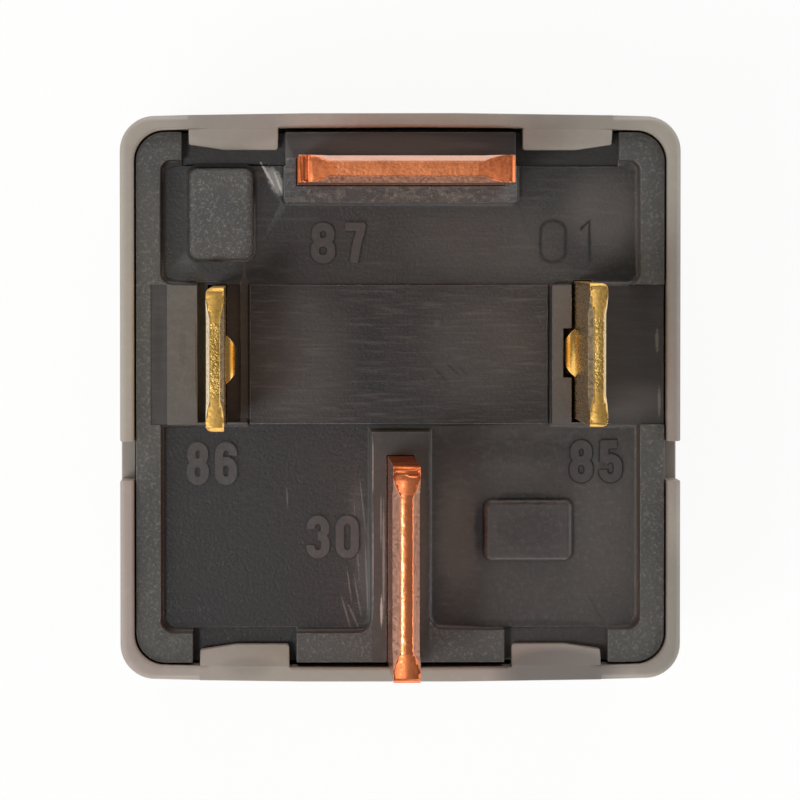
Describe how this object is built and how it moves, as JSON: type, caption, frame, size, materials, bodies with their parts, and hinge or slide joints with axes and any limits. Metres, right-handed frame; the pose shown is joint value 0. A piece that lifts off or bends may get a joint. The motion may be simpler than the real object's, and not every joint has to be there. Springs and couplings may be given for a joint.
{
  "type": "automotive relay",
  "caption": "Plug-in automotive relay: a moulded cover latched over a header with load and coil blade terminals, and a hinged armature inside.",
  "frame": {"origin": "centre of the cover's closed flat end, which the relay rests on", "axes": "+Z from the closed end towards the blade tips, +Y towards load blade 87, +X towards coil blade 85"},
  "size_m": [0.0256, 0.026, 0.036],
  "materials": {
    "cover_plastic": "glass-filled nylon, moulded, warm grey",
    "base_plastic": "glass-filled polyester, moulded, near black",
    "copper": "bare copper strip, stamped",
    "brass": "bare brass strip, stamped",
    "leaf_bronze": "rolled copper-tin spring strip",
    "rivet_brass": "cold-headed brass",
    "contact_silver": "silver alloy contact, cold-headed",
    "magnet_iron": "soft iron, stamped or turned, zinc plated",
    "spring_wire": "drawn spring steel wire",
    "lead_wire": "tinned copper wire",
    "bobbin_plastic": "moulded nylon, natural",
    "enamel_wire": "enamelled copper wire",
    "tape_film": "polyester film tape",
    "braid_copper": "braided fine copper wire",
    "resistor_lacquer": "lacquered film resistor body"
  },
  "bodies": {
    "case": {"cover": "cover_plastic", "base": "base_plastic", "terminal_87": "copper", "terminal_30": "copper", "terminal_85": "brass", "terminal_86": "brass", "bobbin": "bobbin_plastic", "winding": "enamel_wire", "coil_tape": "tape_film", "core": "magnet_iron", "yoke": "magnet_iron", "yoke_rivets": "rivet_brass", "return_spring": "spring_wire", "fixed_contact": "contact_silver", "backstop": "rivet_brass", "braid": "braid_copper", "resistor": "resistor_lacquer", "resistor_lead_85": "lead_wire", "resistor_lead_86": "lead_wire", "coil_lead_85": "enamel_wire", "coil_lead_86": "enamel_wire"},
    "armature": {"armature": "magnet_iron", "contact_leaf": "leaf_bronze", "leaf_rivets": "rivet_brass", "moving_contact": "contact_silver"}
  },
  "joints": [
    {"name": "armature_hinge", "type": "hinge", "parent": "case", "child": "armature", "pos_m": [0, -0.0096, 0.0056], "axis": [1, 0, 0], "range_deg": [0, 3.2], "stiffness_Nm_per_rad": 0.02, "springref_deg": -4.58, "deforming": ["return_spring", "braid"]}
  ]
}
